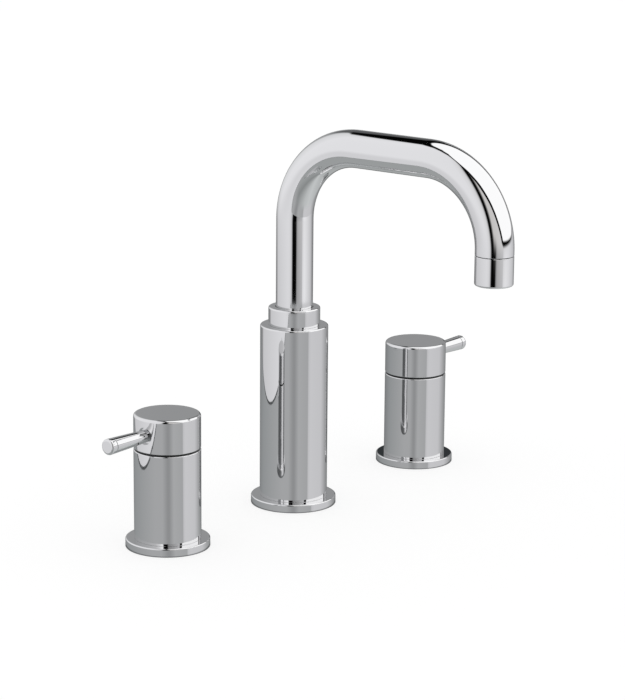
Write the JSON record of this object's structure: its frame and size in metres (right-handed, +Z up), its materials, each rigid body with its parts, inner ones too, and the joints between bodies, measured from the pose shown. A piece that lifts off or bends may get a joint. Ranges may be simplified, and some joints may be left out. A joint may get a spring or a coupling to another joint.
{
  "type": "widespread basin faucet",
  "caption": "Deck-mounted basin faucet: a high square-arched swivel spout on a tall round column, between separate hot and cold column valves with side lever handles.",
  "frame": {"origin": "the spout's axis on the top of the deck", "axes": "+Z up, -Y the way the spout points, towards the user, +X towards the cold valve, on the user's right"},
  "size_m": [0.378, 0.2042, 0.3524],
  "materials": {
    "chrome_plate": "bright polished chrome plate on brass",
    "brass": "machined",
    "stainless_steel": "turned",
    "black_rubber": "moulded",
    "black_acetal": "satin",
    "alumina_ceramic": "lapped",
    "white_plastic": "moulded"
  },
  "bodies": {
    "deck_set": {"hot_flange": "chrome_plate", "hot_base_gasket": "black_rubber", "hot_sleeve": "chrome_plate", "hot_ring_nut": "brass", "hot_glide_ring": "black_acetal", "hot_valve_body": "brass", "hot_mounting_nut": "brass", "hot_cartridge_body": "brass", "hot_cartridge_oring": "black_rubber", "hot_fixed_disc": "alumina_ceramic", "hot_seat_seal": "black_rubber", "hot_deck_washer": "black_rubber", "hot_steel_washer": "stainless_steel", "hot_locknut": "brass", "hot_outlet_nipple": "brass", "cold_flange": "chrome_plate", "cold_base_gasket": "black_rubber", "cold_sleeve": "chrome_plate", "cold_ring_nut": "brass", "cold_glide_ring": "black_acetal", "cold_valve_body": "brass", "cold_mounting_nut": "brass", "cold_cartridge_body": "brass", "cold_cartridge_oring": "black_rubber", "cold_fixed_disc": "alumina_ceramic", "cold_seat_seal": "black_rubber", "cold_deck_washer": "black_rubber", "cold_steel_washer": "stainless_steel", "cold_locknut": "brass", "cold_outlet_nipple": "brass", "spout_flange": "chrome_plate", "spout_base_gasket": "black_rubber", "spout_sleeve": "chrome_plate", "spout_collar": "chrome_plate", "spout_pillar": "brass", "spout_lower_oring": "black_rubber", "spout_upper_oring": "black_rubber", "spout_inlet_tee": "brass", "spout_tee_washer": "black_rubber", "spout_deck_washer": "black_rubber", "spout_steel_washer": "stainless_steel", "spout_locknut": "brass"},
    "hot_handle": {"hot_hub": "chrome_plate", "hot_lever": "chrome_plate", "hot_lever_cap": "chrome_plate", "hot_lever_stud": "stainless_steel", "hot_spindle": "brass", "hot_moving_disc": "alumina_ceramic"},
    "cold_handle": {"cold_hub": "chrome_plate", "cold_lever": "chrome_plate", "cold_lever_cap": "chrome_plate", "cold_lever_stud": "stainless_steel", "cold_spindle": "brass", "cold_moving_disc": "alumina_ceramic"},
    "spout": {"spout_tube": "chrome_plate", "spout_swivel_bush": "black_acetal", "spout_circlip": "stainless_steel", "aerator_housing": "chrome_plate", "aerator_insert": "white_plastic", "aerator_washer": "black_rubber"}
  },
  "joints": [
    {"name": "hot_handle_turn", "type": "hinge", "parent": "deck_set", "child": "hot_handle", "pos_m": [-0.128, 0, 0.0773], "axis": [0, 0, 1], "range_deg": [0, 90]},
    {"name": "cold_handle_turn", "type": "hinge", "parent": "deck_set", "child": "cold_handle", "pos_m": [0.138, 0, 0.0773], "axis": [0, 0, 1], "range_deg": [-90, 0]},
    {"name": "spout_swivel", "type": "hinge", "parent": "deck_set", "child": "spout", "pos_m": [0, 0, 0.1168], "axis": [0, 0, 1], "range_deg": [-60, 60]}
  ]
}
